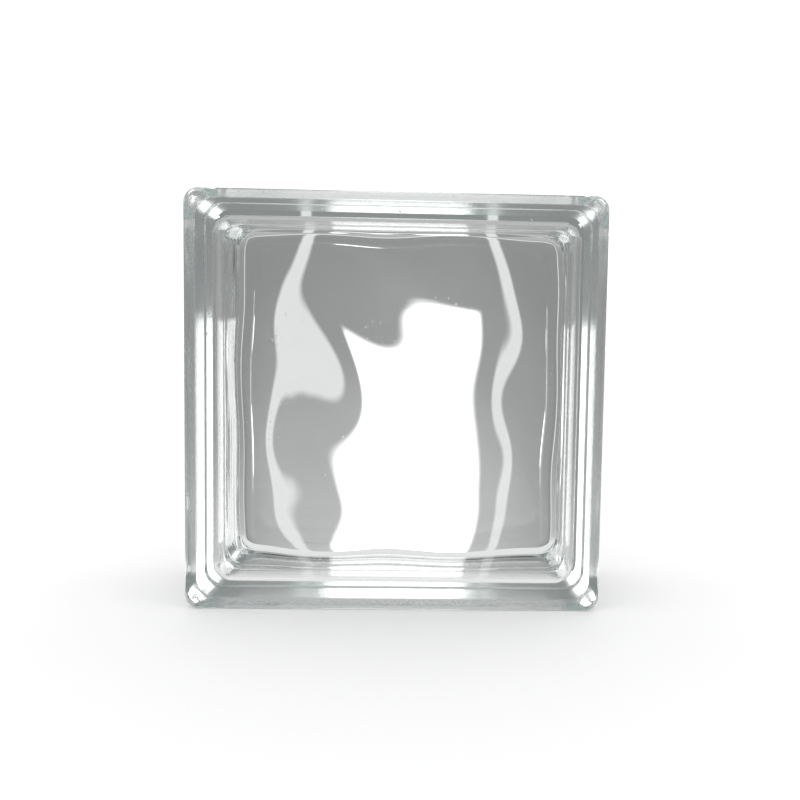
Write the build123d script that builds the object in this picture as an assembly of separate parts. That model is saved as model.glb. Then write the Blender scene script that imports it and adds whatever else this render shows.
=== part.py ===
"""Hollow glass block with a wavy relief, pressed as two dished halves that are fused into one piece.

The block stands on its bottom edge: X runs across it, Z runs up and the front face looks along -Y.
The origin is at the middle of the footprint. It is modelled lying on its back, with the depth along Z
and the fused seam in the XY plane, and is stood up at the end. All lengths are in millimetres.
"""

from build123d import *
import os
from math import cos, pi, radians, sin, tan

# Outside of the block
block_width = 190.0
block_height = 190.0
block_depth = 80.0
corner_radius = 6.5
face_edge_radius = 1.8

# Mortar key: the channel round the four edges, between the lips of the two faces
lip_land = 9.0
key_depth = 3.0
key_corner_radius = 3.5
shoulder_run = 4.0
shoulder_radius = 2.5
lip_edge_radius = 1.2

# Fused seam at half depth: a bead outside, in the key, and a smaller one inside
seam_width = 5.0
seam_height = 1.0
inner_bead_width = 5.0
inner_bead_height = 0.8

# Hollow inside: face panels and side walls, which thin towards the seam by the pressing draft
panel_thickness = 8.0
wall_inset = 11.0
wall_draft_angle = 2.7
cavity_corner_radius = 9.0
cavity_edge_radius = 4.5
cavity_edge_trim = 0.3

# Wave relief on the inside of each face panel: three swells that cross each other and fade towards the rim.
# The main one runs straight across, and a heading is the angle from there to the way that a swell runs
main_swell_height = 1.5
main_swell_pitch = 62.0
main_swell_shift = -35.0
slant_swell_height = 1.0
slant_swell_pitch = 96.0
slant_swell_heading = 45.0
slant_swell_shift = -36.0
cross_swell_height = 0.6
cross_swell_pitch = 52.0
cross_swell_heading = 60.0
cross_swell_shift = -19.0
wave_fade = 36.0
wave_grid_step = 9.0
wave_fit = 0.001

# How far a cutting solid runs past what it cuts
overrun = 5.0

half_depth = block_depth / 2
panel_level = half_depth - panel_thickness


def outline(inset, radius):
    """Rounded outline of the block, drawn in by inset on every side."""
    return RectangleRounded(block_width - 2 * inset, block_height - 2 * inset, radius)


def swept_ring(section, inset, radius):
    """Section, drawn with X outwards and Y along the depth, carried round an outline in the seam plane."""
    path = outline(inset, radius).wire()
    start = Plane(origin=path @ 0, x_dir=(path % 0).cross(Vector(0, 0, 1)), z_dir=path % 0)
    return sweep(start * section, path=path)


def mortar_key():
    """Channel cut round the edges: sloped shoulders, rounded into a floor that the seam bead stands on."""
    floor_half = half_depth - lip_land - shoulder_run
    slope = shoulder_run / key_depth
    outer_reach = key_depth + overrun
    outer_half = floor_half + slope * outer_reach
    bead_half = seam_width / 2
    upper = FilletPolyline((0, bead_half), (0, floor_half), (outer_reach, outer_half), radius=shoulder_radius)
    lower = mirror(upper, about=Plane.XZ)
    bead = ThreePointArc((0, -bead_half), (seam_height, 0), (0, bead_half))
    back = Line(upper @ 1, lower @ 1)
    section = make_face([*upper.edges(), *lower.edges(), bead, back])
    return swept_ring(section, key_depth, key_corner_radius)


def outer_body():
    """Solid block with eased face edges and the mortar key cut round it."""
    plain = extrude(outline(0, corner_radius), half_depth, both=True)
    rims = plain.edges().group_by(Axis.Z)
    plain = fillet(rims[0] + rims[-1], face_edge_radius)
    key = mortar_key()
    keyed = plain - key
    return fillet(new_edges(plain, key, combined=keyed), lip_edge_radius)


def swell(x, y, height, pitch, heading, shift):
    """Height of one swell above its troughs, with a crest at its shift from the middle of the panel."""
    along = x * cos(radians(heading)) + y * sin(radians(heading)) - shift
    return height / 2 * (1 + cos(2 * pi * along / pitch))


def relief(x, y):
    """Height of the wave above the level of the panel, where nothing fades it."""
    main = swell(x, y, main_swell_height, main_swell_pitch, 0, main_swell_shift)
    slant = swell(x, y, slant_swell_height, slant_swell_pitch, slant_swell_heading, slant_swell_shift)
    cross = swell(x, y, cross_swell_height, cross_swell_pitch, cross_swell_heading, cross_swell_shift)
    return main + slant + cross


def fade(place, wall):
    """Strength of the wave, from none at the wall to one further in than the fade."""
    share = min(max((wall - abs(place)) / wave_fade, 0), 1)
    return (1 - cos(pi * share)) / 2


def wave_face(quarter_turn):
    """Inner surface of the front panel, with its wave as pressed or given a quarter turn."""
    columns = round(block_width / wave_grid_step)
    rows = round(block_height / wave_grid_step)
    grid = []
    for i in range(columns + 1):
        x = block_width * (i / columns - 1 / 2)
        line = []
        for j in range(rows + 1):
            y = block_height * (j / rows - 1 / 2)
            wave = relief(-y, x) if quarter_turn else relief(x, y)
            strength = fade(x, block_width / 2 - wall_inset) * fade(y, block_height / 2 - wall_inset)
            line.append((x, y, panel_level - strength * wave))
        grid.append(line)
    return Face.make_surface_from_array_of_points(grid, tol=wave_fit, min_deg=3)


def seam_outline():
    """Inset and corner radius of the hollow in the seam plane, where the draft has it at its widest."""
    spread = tan(radians(wall_draft_angle)) * panel_level
    return wall_inset - spread, cavity_corner_radius + spread


def cavity_half(quarter_turn):
    """Hollow of one pressed half, from the seam to the wave, with drafted walls and a rounded rim."""
    hollow = extrude(outline(*seam_outline()), panel_level + cavity_edge_trim, taper=wall_draft_angle)
    rim = hollow.edges().group_by(Axis.Z)[-1]
    hollow = fillet(rim, cavity_edge_radius)
    below_wave = extrude(wave_face(quarter_turn), amount=panel_level + overrun, dir=(0, 0, -1))
    return hollow & below_wave


def inner_bead():
    """Ring that the fused seam leaves on the inside of the walls, a slice of a round bar."""
    bar_radius = (inner_bead_width**2 / 4 + inner_bead_height**2) / (2 * inner_bead_height)
    bar = Pos(bar_radius - inner_bead_height, 0) * Circle(bar_radius)
    return swept_ring(bar, *seam_outline())


def glass_block():
    """The whole block, lying on its back with the seam at zero."""
    front_hollow = cavity_half(quarter_turn=False)
    back_hollow = Rot(0, 180, 0) * cavity_half(quarter_turn=True)
    hollow = front_hollow + back_hollow - inner_bead()
    return outer_body() - hollow


if __name__ == "__main__":
    standing = Pos(0, 0, block_height / 2) * Rot(90, 0, 0) * glass_block()
    os.makedirs("parts", exist_ok=True)
    export_step(standing, "parts/glass_block.step")
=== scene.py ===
import math

import bmesh
import bpy
import numpy as np
from mathutils import Matrix, Vector


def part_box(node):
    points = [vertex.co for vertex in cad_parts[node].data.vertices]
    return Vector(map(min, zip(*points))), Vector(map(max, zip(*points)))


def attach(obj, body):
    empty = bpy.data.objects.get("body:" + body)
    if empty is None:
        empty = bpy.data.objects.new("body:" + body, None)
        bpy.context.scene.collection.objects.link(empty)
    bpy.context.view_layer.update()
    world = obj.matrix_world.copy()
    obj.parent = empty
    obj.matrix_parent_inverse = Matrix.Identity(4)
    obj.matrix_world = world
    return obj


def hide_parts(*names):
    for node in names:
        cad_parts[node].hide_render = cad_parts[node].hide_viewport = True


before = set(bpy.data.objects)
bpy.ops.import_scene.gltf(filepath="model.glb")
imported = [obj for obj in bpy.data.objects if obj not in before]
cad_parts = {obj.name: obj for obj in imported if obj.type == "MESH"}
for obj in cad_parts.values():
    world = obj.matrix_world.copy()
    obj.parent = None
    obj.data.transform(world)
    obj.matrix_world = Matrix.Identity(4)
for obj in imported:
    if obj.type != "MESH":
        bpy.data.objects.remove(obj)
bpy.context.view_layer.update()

# Sizes of the block in metres, the same as those of its solid
low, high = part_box("glass_block")
block_width, block_depth, block_height = high - low
corner_radius = 0.0065
face_edge_radius = 0.0018
lip_land = 0.009
key_depth = 0.003
shoulder_run = 0.004
shoulder_radius = 0.0025
lip_edge_radius = 0.0012
seam_width = 0.005
seam_height = 0.001
inner_bead_width = 0.005
inner_bead_height = 0.0008
panel_thickness = 0.008
wall_inset = 0.011
wall_draft_angle = math.radians(2.7)
cavity_corner_radius = 0.009
cavity_edge_radius = 0.0045
wave_fade = 0.036
half_depth = block_depth / 2
panel_level = half_depth - panel_thickness

# Corner of the mortar key, which is rounder here than in the solid
key_corner_radius = 0.009

# Swells of the wave relief: height, pitch, heading from across the block, and shift of a crest
swells = (
    (0.0015, 0.062, math.radians(0), -0.035),
    (0.0010, 0.096, math.radians(45), -0.036),
    (0.0006, 0.052, math.radians(60), -0.019),
)

# Press marks along the fused seam: shallow notches across its two beads
notch_pitch = 0.011
notch_depth = 0.00015
notch_sharpness = 4

# Seeds, the small bubbles left in the glass of the rim: which draw, how many, their radii,
# how far in and how deep they lie, how far they are drawn out, and how finely they are divided
seed_draw = 7
seed_count = 14
seed_radii = (0.00025, 0.0006)
seed_insets = (0.0048, 0.0080)
seed_depth = 0.030
seed_stretch = 1.6
seed_divisions = 2

# Mesh density: steps along each side of a loop, along half a corner, along a rounded edge and down a wall
side_steps = 96
half_corner_steps = 6
arc_steps = 7
wall_step = 0.0020
# The flat ends of the skins start this many edge radii in from their corners
outer_start_share = 2.2
inner_start_share = 1.6

# Camera, at the place and with the lens that show the block as it is seen
camera_place = (0.0127, -0.4103, 0.1220)
camera_forward = (0.02977, 0.99718, -0.06889)
camera_up = (-0.01487, 0.06935, 0.99748)
sensor_width = 36.0
camera_lens = 36.92
camera_shift = (-0.06, 0.0025)

# Bounces that light needs on its way through the glass, and from face to face
glass_bounces = 32
mirror_bounces = 16


def loop(inset, radius):
    """Rounded outline drawn in by inset, as points (x, z) about its middle, from the lower left corner."""
    half_w, half_h = block_width / 2 - inset, block_height / 2 - inset
    eighth = np.linspace(0, math.pi / 4, half_corner_steps + 1)
    share = np.linspace(0, 1, side_steps - 2 * half_corner_steps + 1)[1:-1]
    sides = []
    for turn in range(4):
        along, across = (half_w, half_h) if turn % 2 == 0 else (half_h, half_w)
        run, rise = along - radius, across - radius
        rest = math.pi / 4 - eighth
        first = np.stack([-run - radius * np.sin(rest), -rise - radius * np.cos(rest)], 1)
        middle = np.stack([-run + 2 * run * share, np.full(len(share), -across)], 1)
        last = np.stack([run + radius * np.sin(eighth), -rise - radius * np.cos(eighth)], 1)[:-1]
        c, s = round(math.cos(turn * math.pi / 2)), round(math.sin(turn * math.pi / 2))
        sides.append(np.concatenate([first, middle, last]) @ np.array([[c, s], [-s, c]]))
    return np.concatenate(sides)


def grid_of(edge):
    """Grid of points (x, z) that fills a loop, its corners in the middle of the loop's corners."""
    n = side_steps
    bottom = edge[np.arange(0, n + 1)]
    right = edge[np.arange(n, 2 * n + 1)]
    top = edge[np.arange(2 * n, 3 * n + 1)][::-1]
    left = edge[np.arange(3 * n, 4 * n + 1) % (4 * n)][::-1]
    u = np.linspace(0, 1, n + 1)[:, None, None]
    v = np.linspace(0, 1, n + 1)[None, :, None]
    between = (1 - v) * bottom[:, None] + v * top[:, None] + (1 - u) * left[None] + u * right[None]
    lower = (1 - u) * (1 - v) * bottom[0] + u * (1 - v) * bottom[-1]
    upper = (1 - u) * v * top[0] + u * v * top[-1]
    return between - lower - upper


def rounded(points, radii):
    """Polyline with its inner corners rounded, as points."""
    line = [np.array(points[0], float)]
    for before, corner, after, radius in zip(points, points[1:], points[2:], radii):
        corner = np.array(corner, float)
        back = np.array(before, float) - corner
        ahead = np.array(after, float) - corner
        back, ahead = back / np.linalg.norm(back), ahead / np.linalg.norm(ahead)
        half = math.acos(np.clip(back @ ahead, -1, 1)) / 2
        middle = (back + ahead) / np.linalg.norm(back + ahead)
        centre = corner + middle * radius / math.sin(half)
        first = corner + back * radius / math.tan(half) - centre
        last = corner + ahead * radius / math.tan(half) - centre
        sweep = math.pi - 2 * half
        for share in np.linspace(0, 1, arc_steps + 1):
            a = math.sin((1 - share) * sweep) / math.sin(sweep)
            b = math.sin(share * sweep) / math.sin(sweep)
            line.append(centre + a * first + b * last)
    line.append(np.array(points[-1], float))
    return line


def spaced(line):
    """Polyline with its long runs divided into steps."""
    out = [line[0]]
    for a, b in zip(line, line[1:]):
        count = max(1, math.ceil(np.linalg.norm(b - a) / wall_step))
        out += [a + (b - a) * k / count for k in range(1, count + 1)]
    return out


def bead(foot, width, height):
    """Half of a bead's round section, from beside its foot to its top. A height inwards is positive."""
    bar = (width**2 / 4 + height**2) / (2 * abs(height))
    reach = math.asin(width / 2 / bar)
    side = math.copysign(1, height)
    angles = np.linspace(reach, 0, arc_steps + 1)[1:]
    return [np.array([foot + height - side * bar * (1 - math.cos(a)), bar * math.sin(a)]) for a in angles]


def outer_profile():
    """Front half of the outside, as (inset, depth from the middle), from the front face to the seam."""
    flat_start = (outer_start_share * face_edge_radius, half_depth)
    corner = (0, half_depth)
    lip = (0, half_depth - lip_land)
    root = (key_depth, half_depth - lip_land - shoulder_run)
    bead_foot = (key_depth, seam_width / 2)
    radii = [face_edge_radius, lip_edge_radius, shoulder_radius]
    line = rounded([flat_start, corner, lip, root, bead_foot], radii)
    return spaced(line + bead(key_depth, seam_width, -seam_height))


def inner_profile():
    """Front half of the hollow, as (inset, depth from the middle), from the front panel to the seam."""
    foot_depth = inner_bead_width / 2
    foot_inset = wall_inset - math.tan(wall_draft_angle) * (panel_level - foot_depth)
    panel = (wall_inset + inner_start_share * cavity_edge_radius, panel_level)
    line = rounded([panel, (wall_inset, panel_level), (foot_inset, foot_depth)], [cavity_edge_radius])
    return spaced(line + bead(foot_inset, inner_bead_width, inner_bead_height))


def fade(place, wall):
    """Strength of the wave, from none at the wall to one further in than the fade."""
    share = np.clip((wall - np.abs(place)) / wave_fade, 0, 1)
    return (1 - np.cos(math.pi * share)) / 2


def wave(x, z, quarter_turn):
    """Height of the wave on a panel, about the panel's middle, as pressed or given a quarter turn."""
    across, up = (-z, x) if quarter_turn else (x, z)
    height = np.zeros_like(x)
    for swell_height, pitch, heading, shift in swells:
        along = across * math.cos(heading) + up * math.sin(heading) - shift
        height += swell_height / 2 * (1 + np.cos(2 * math.pi * along / pitch))
    return height * fade(x, block_width / 2 - wall_inset) * fade(z, block_height / 2 - wall_inset)


def outer_corner(inset, depth):
    """Corner radius of the outside: concentric on the lips, and rounder down in the mortar key."""
    share = np.clip((half_depth - lip_land - abs(depth)) / shoulder_run, 0, 1)
    rounder = key_corner_radius - (corner_radius - key_depth)
    return corner_radius - inset + rounder * (1 - math.cos(math.pi * share)) / 2


def inner_corner(inset, depth):
    """Corner radius of the hollow, concentric at every depth."""
    return cavity_corner_radius + wall_inset - inset


def notched(inset, depth, corner, bead_width, cut):
    """Loop of a skin. Where it crosses the bead of the seam, the press marks are cut into it."""
    edge = loop(inset, corner(inset, depth))
    over_bead = max(0, 1 - (2 * depth / bead_width) ** 2)
    count = round((block_width - 2 * inset) / notch_pitch)
    along = np.arange(len(edge)) / side_steps
    share = np.cos(math.pi * count * along) ** (2 * notch_sharpness)
    bottom = loop(inset + cut, corner(inset + cut, depth))
    return edge + over_bead * share[:, None] * (bottom - edge)


def skin(profile, corner, bead_width, cut, front_depth, back_depth):
    """Closed skin round the depth axis: points, and quads that face outwards. The ends are grids."""
    stations = list(profile) + [np.array([inset, -depth]) for inset, depth in profile[-2::-1]]
    n = side_steps
    count = 4 * n
    points, quads = [], []
    for inset, depth in stations:
        edge = notched(inset, depth, corner, bead_width, cut)
        points.append(np.column_stack([edge[:, 0], np.full(count, -depth), edge[:, 1]]))
    ring = np.arange(count)
    following = (ring + 1) % count
    for k in range(len(stations) - 1):
        a, b = k * count + ring, k * count + following
        quads.append(np.stack([a, a + count, b + count, b], 1))
    total = count * len(stations)
    for end, depth_at in ((0, front_depth), (len(stations) - 1, back_depth)):
        inside = grid_of(loop(stations[end][0], corner(*stations[end])))[1:-1, 1:-1].reshape(-1, 2)
        x, z = inside[:, 0], inside[:, 1]
        points.append(np.column_stack([x, depth_at(x, z), z]))
        border = ring + end * count
        index = np.empty((n + 1, n + 1), int)
        index[:, 0] = border[:n + 1]
        index[n, :] = border[n:2 * n + 1]
        index[::-1, n] = border[2 * n:3 * n + 1]
        index[0, ::-1] = np.append(border[3 * n:], border[0])
        index[1:-1, 1:-1] = total + np.arange((n - 1) ** 2).reshape(n - 1, n - 1)
        total += (n - 1) ** 2
        cells = np.stack([index[:-1, :-1], index[1:, :-1], index[1:, 1:], index[:-1, 1:]], 2).reshape(-1, 4)
        quads.append(cells if end == 0 else cells[:, ::-1])
    return np.concatenate(points), np.concatenate(quads)


def block_mesh():
    """Skin of the block and, turned inside out, the skin of its hollow."""
    outside, outside_quads = skin(
        outer_profile(),
        outer_corner,
        seam_width,
        notch_depth,
        lambda x, z: np.full(len(x), -half_depth),
        lambda x, z: np.full(len(x), half_depth),
    )
    inside, inside_quads = skin(
        inner_profile(),
        inner_corner,
        inner_bead_width,
        -notch_depth,
        lambda x, z: -(panel_level - wave(x, z, False)),
        lambda x, z: panel_level - wave(-x, z, True),
    )
    points = np.concatenate([outside, inside]) + [0, 0, block_height / 2]
    quads = np.concatenate([outside_quads, inside_quads[:, ::-1] + len(outside)])
    mesh = bpy.data.meshes.new("glass_block_skin")
    mesh.from_pydata(points.tolist(), [], quads.tolist())
    mesh.polygons.foreach_set("use_smooth", [True] * len(mesh.polygons))
    mesh.validate()
    mesh.update()
    return mesh


def add_seeds(mesh):
    """Bubbles in the rim, faced like the hollow and drawn out along the depth."""
    chance = np.random.default_rng(seed_draw)
    along_reach = block_width / 2 - corner_radius - wall_inset
    skins = bmesh.new()
    skins.from_mesh(mesh)
    for index in range(seed_count):
        radius = chance.uniform(*seed_radii)
        out = block_width / 2 - chance.uniform(*seed_insets)
        along = chance.uniform(-along_reach, along_reach)
        turn = Matrix.Rotation(index % 4 * math.pi / 2, 4, "Y")
        place = turn @ Vector((out, chance.uniform(-seed_depth, seed_depth), along))
        shape = Matrix.Diagonal((1, seed_stretch, 1, 1))
        matrix = Matrix.Translation(place + Vector((0, 0, block_height / 2))) @ shape
        made = bmesh.ops.create_icosphere(skins, subdivisions=seed_divisions, radius=radius, matrix=matrix)
        faces = list({face for corner in made["verts"] for face in corner.link_faces})
        bmesh.ops.reverse_faces(skins, faces=faces)
        for face in faces:
            face.smooth = True
    skins.to_mesh(mesh)
    skins.free()


def link(name, mesh):
    """New object for a mesh, in the scene."""
    obj = bpy.data.objects.new(name, mesh)
    bpy.context.scene.collection.objects.link(obj)
    return obj


skins = block_mesh()
add_seeds(skins)
block = link("glass_block_clear", skins)
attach(block, "root")
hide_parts("glass_block")


class Nodes:
    """Short ways to add nodes to a material's tree and join them up."""

    def __init__(self, tree):
        self.tree = tree

    def add(self, kind, inputs=None, **settings):
        node = self.tree.nodes.new(kind)
        for name, value in settings.items():
            setattr(node, name, value)
        for name, value in (inputs or {}).items():
            if isinstance(value, bpy.types.NodeSocket):
                self.tree.links.new(value, node.inputs[name])
            else:
                node.inputs[name].default_value = value
        return node

    def math(self, operation, first, second=0.0):
        return self.add("ShaderNodeMath", {0: first, 1: second}, operation=operation).outputs[0]

    def step(self, value, start, end, low=0.0, high=1.0):
        """Smooth step from low to high while value goes from start to end."""
        inputs = {"Value": value, "From Min": start, "From Max": end, "To Min": low, "To Max": high}
        return self.add("ShaderNodeMapRange", inputs, interpolation_type="SMOOTHSTEP").outputs["Result"]

    def noise(self, vector, scale, detail=2.0):
        inputs = {"Vector": vector, "Scale": scale, "Detail": detail}
        return self.add("ShaderNodeTexNoise", inputs).outputs["Fac"]

    def stretched(self, vector, scale):
        inputs = {0: vector, 1: scale}
        return self.add("ShaderNodeVectorMath", inputs, operation="MULTIPLY").outputs[0]

    def bump(self, height, size, normal=None):
        inputs = {"Height": height, "Strength": size[0], "Distance": size[1]}
        if normal is not None:
            inputs["Normal"] = normal
        return self.add("ShaderNodeBump", inputs).outputs[0]

    def mix(self, share, first, second):
        inputs = {"Factor": share, "A": first, "B": second}
        return self.add("ShaderNodeMix", inputs, data_type="RGBA").outputs["Result"]


# Finish of the glass. Scales are waves to the metre, and a bump is its strength and its height in metres
mask_soft = 0.0015
stipple_scale = 900.0
stipple_bump = (0.25, 0.0003)
streak_scales = (4.0, 260.0, 4.0)
streak_detail = 0.0
streak_bump = (0.22, 0.0005)
bed_streak_share = 0.15
uneven_scale = 24.0
uneven_detail = 1.0
uneven_bump = (0.5, 0.0002)
film_scale = 38.0
film_detail = 6.0
film_range = (0.52, 0.78)
film_roughness = 0.05
key_roughness = 0.18
dust_scale = 30.0
dust_range = (0.52, 0.62)
speck_scale = 700.0
speck_detail = 0.0
speck_range = (0.74, 0.80)
speck_roughness = 0.2
glass_ior = 1.52
glass_tint = (0.77, 0.88, 0.86, 1)
tint_density = 6.5


def glass():
    """Pressed glass: streaked walls, a stippled mortar key and a faint film of dust and smudges."""
    material = bpy.data.materials.new("pressed_glass")
    material.use_nodes = True
    tree = material.node_tree
    nodes = Nodes(tree)
    place = nodes.add("ShaderNodeTexCoord").outputs["Object"]
    axes = nodes.add("ShaderNodeSeparateXYZ", {0: place}).outputs
    up = nodes.math("SUBTRACT", axes[2], block_height / 2)
    spread = nodes.math("MAXIMUM", nodes.math("ABSOLUTE", axes[0]), nodes.math("ABSOLUTE", up))
    depth = nodes.math("ABSOLUTE", axes[1])

    half_width = block_width / 2
    between = half_width - (key_depth + wall_inset) / 2
    key_edge = half_depth - lip_land
    in_key = nodes.math(
        "MULTIPLY",
        nodes.step(spread, between - mask_soft, between + mask_soft),
        nodes.step(depth, key_edge, key_edge - shoulder_run / 2),
    )
    on_wall = nodes.math(
        "MULTIPLY",
        nodes.step(spread, half_width - wall_inset - 2 * mask_soft, half_width - wall_inset - mask_soft),
        nodes.step(spread, between + mask_soft, between - mask_soft),
    )
    stipple = nodes.math("MULTIPLY", nodes.noise(place, stipple_scale), in_key)
    drawn_out = nodes.noise(nodes.stretched(place, streak_scales), 1.0, streak_detail)
    bed_start, bed_end = wall_inset + mask_soft - half_width, 2 * wall_inset - half_width
    above_bed = nodes.step(up, bed_start, bed_end, bed_streak_share, 1.0)
    streaks = nodes.math("MULTIPLY", nodes.math("MULTIPLY", drawn_out, on_wall), above_bed)
    normal = nodes.bump(nodes.noise(place, uneven_scale, uneven_detail), uneven_bump)
    normal = nodes.bump(streaks, streak_bump, normal)
    normal = nodes.bump(stipple, stipple_bump, normal)

    film = nodes.step(nodes.noise(place, film_scale, film_detail), *film_range, 0.0, film_roughness)
    key_dull = nodes.math("MULTIPLY", in_key, key_roughness)
    dusty = nodes.step(nodes.noise(place, dust_scale), *dust_range)
    speck = nodes.step(nodes.noise(place, speck_scale, speck_detail), *speck_range, 0.0, speck_roughness)
    specks = nodes.math("MULTIPLY", speck, dusty)
    roughness = nodes.math("ADD", nodes.math("ADD", film, specks), key_dull)

    shader = tree.nodes["Principled BSDF"]
    shader.inputs["Base Color"].default_value = (1, 1, 1, 1)
    shader.inputs["IOR"].default_value = glass_ior
    shader.inputs["Transmission Weight"].default_value = 1.0
    tree.links.new(roughness, shader.inputs["Roughness"])
    tree.links.new(normal, shader.inputs["Normal"])
    absorb = nodes.add("ShaderNodeVolumeAbsorption", {"Color": glass_tint, "Density": tint_density})
    tree.links.new(absorb.outputs[0], tree.nodes["Material Output"].inputs["Volume"])
    return material


block.data.materials.append(glass())


def sheet(name, points):
    """Flat four-cornered piece of the stage."""
    mesh = bpy.data.meshes.new(name)
    mesh.from_pydata(points, [], [(0, 1, 2, 3)])
    obj = link(name, mesh)
    return obj


# Studio set behind the block: a white backdrop, a grey card before it, and before that a light panel
# between two strip lights. Only the glass shows them. The card's glow is painted light: it goes from its
# first tone, at the middle of its foot, to its second over the fall-off, which is a share of its size, as a
# painted pool of light on a grey card
set_distance = 0.30
set_gap = 0.004
set_shift = -0.010
backdrop_size = (0.54, 0.50)
backdrop_foot = -0.16
card_size = (0.50, 0.46)
panel_size = (0.125, 0.283)
strip_size = (0.012, card_size[1])
strip_offset = 0.080
set_foot = -0.140
# Tones of the grey card's glow, a painted pool of light: bright at the middle of its foot, darker outwards
card_painted_light_tones = (0.66, 0.27)
panel_glow = 2.4
strip_glow = 0.85
backdrop_glow = 0.92
card_soft = 0.012
panel_soft = 0.006
strip_soft = 0.003
painted_light_fall_off = 0.85


def glow_material(name, near_tone, far_tone, soft, size):
    """Neutral glow, graded outwards from the middle of the foot, that fades out along the edges. On the
    grey card the grade is a painted pool of light.
    """
    material = bpy.data.materials.new(name)
    material.use_nodes = True
    tree = material.node_tree
    nodes = Nodes(tree)
    generated = nodes.add("ShaderNodeTexCoord").outputs["Generated"]
    share = nodes.add("ShaderNodeSeparateXYZ", {0: generated}).outputs
    aside = nodes.math("MULTIPLY", nodes.math("ABSOLUTE", nodes.math("SUBTRACT", share[0], 0.5)), 2.0)
    squares = nodes.math("ADD", nodes.math("POWER", aside, 2.0), nodes.math("POWER", share[2], 2.0))
    reach = nodes.math("POWER", squares, 0.5)
    # On the grey card this grade is painted light, brighter at the middle of its foot
    tone = nodes.mix(nodes.step(reach, 0.0, painted_light_fall_off), (*[near_tone] * 3, 1), (*[far_tone] * 3, 1))
    cover = []
    for axis, length in ((0, size[0]), (2, size[1])):
        from_middle = nodes.math("ABSOLUTE", nodes.math("SUBTRACT", share[axis], 0.5))
        cover.append(nodes.step(from_middle, 0.5, 0.5 - soft / length))
    glow = nodes.add("ShaderNodeEmission", {"Color": tone}).outputs[0]
    clear = nodes.add("ShaderNodeBsdfTransparent").outputs[0]
    inputs = {0: nodes.math("MULTIPLY", *cover), 1: clear, 2: glow}
    both = nodes.add("ShaderNodeMixShader", inputs).outputs[0]
    tree.nodes.remove(tree.nodes["Principled BSDF"])
    tree.links.new(both, tree.nodes["Material Output"].inputs["Surface"])
    return material


def set_sheet(name, layer, size, foot, material, offset=0.0):
    """Upright sheet of the set. The camera and the floor don't see it, and no outer face mirrors it."""
    y = half_depth + set_distance - layer * set_gap
    left, right = set_shift + offset - size[0] / 2, set_shift + offset + size[0] / 2
    top = foot + size[1]
    upright = sheet(name, [(left, y, foot), (right, y, foot), (right, y, top), (left, y, top)])
    upright.data.materials.append(material)
    upright.visible_camera = False
    upright.visible_diffuse = False
    upright.visible_shadow = False
    upright.visible_glossy = False


backdrop = glow_material("backdrop_white", backdrop_glow, backdrop_glow, card_soft, backdrop_size)
card = glow_material("card_grey_painted_light", *card_painted_light_tones, card_soft, card_size)
panel = glow_material("panel_light", panel_glow, panel_glow, panel_soft, panel_size)
strip = glow_material("strip_light", strip_glow, strip_glow, strip_soft, strip_size)
set_sheet("backdrop", 0, backdrop_size, backdrop_foot, backdrop)
set_sheet("card", 1, card_size, set_foot, card)
set_sheet("panel", 2, panel_size, set_foot, panel)
set_sheet("strip_left", 2, strip_size, set_foot, strip, -strip_offset)
set_sheet("strip_right", 2, strip_size, set_foot, strip, strip_offset)

# Floor, which is pale and matt
floor_reach = 30.0
floor_tone = (0.95, 0.95, 0.95, 1)
floor_roughness = 0.9
corners = [(-1, -1), (1, -1), (1, 1), (-1, 1)]
floor = sheet("floor", [(floor_reach * x, floor_reach * y, 0) for x, y in corners])
floor.visible_transmission = False
floor.visible_glossy = False
paint = bpy.data.materials.new("floor_white")
paint.use_nodes = True
matt = paint.node_tree.nodes["Principled BSDF"]
matt.inputs["Base Color"].default_value = floor_tone
matt.inputs["Roughness"].default_value = floor_roughness
matt.inputs["Specular IOR Level"].default_value = 0.0
floor.data.materials.append(paint)

# Light of the studio, and the tones that the glass shows of it below, at eye level and above.
# Each tone goes over into the next between two heights of the direction
studio_light = (1.16, 1.16, 1.16, 1)
tone_below = (0.85, 0.85, 0.85, 1)
tone_level = (0.30, 0.30, 0.30, 1)
tone_above = (0.50, 0.50, 0.50, 1)
rise_to_level = (-0.45, -0.05)
rise_to_above = (0.05, 0.8)


def studio():
    """White light all round. What the glass shows of it is neutral: pale below, grey level and above."""
    world = bpy.data.worlds.new("studio")
    world.use_nodes = True
    tree = world.node_tree
    nodes = Nodes(tree)
    direction = nodes.add("ShaderNodeTexCoord").outputs["Generated"]
    height = nodes.add("ShaderNodeSeparateXYZ", {0: direction}).outputs[2]
    below = nodes.mix(nodes.step(height, *rise_to_level), tone_below, tone_level)
    toned = nodes.mix(nodes.step(height, *rise_to_above), below, tone_above)
    path = nodes.add("ShaderNodeLightPath").outputs
    plain = nodes.math("MAXIMUM", path["Is Camera Ray"], nodes.math("MINIMUM", path["Diffuse Depth"], 1.0))
    tree.links.new(nodes.mix(plain, toned, studio_light), tree.nodes["Background"].inputs["Color"])
    return world


bpy.context.scene.world = studio()

camera = bpy.data.objects.new("camera", bpy.data.cameras.new("camera"))
bpy.context.scene.collection.objects.link(camera)
forward, up = Vector(camera_forward).normalized(), Vector(camera_up)
right = forward.cross(up).normalized()
up = right.cross(forward)
camera.matrix_world = Matrix.Translation(camera_place) @ Matrix((right, up, -forward)).transposed().to_4x4()
camera.data.sensor_width = sensor_width
camera.data.lens = camera_lens
camera.data.shift_x, camera.data.shift_y = camera_shift
bpy.context.scene.camera = camera

scene = bpy.context.scene
scene.view_settings.view_transform = "Standard"
scene.cycles.max_bounces = glass_bounces
scene.cycles.transmission_bounces = glass_bounces
scene.cycles.transparent_max_bounces = glass_bounces
scene.cycles.glossy_bounces = mirror_bounces
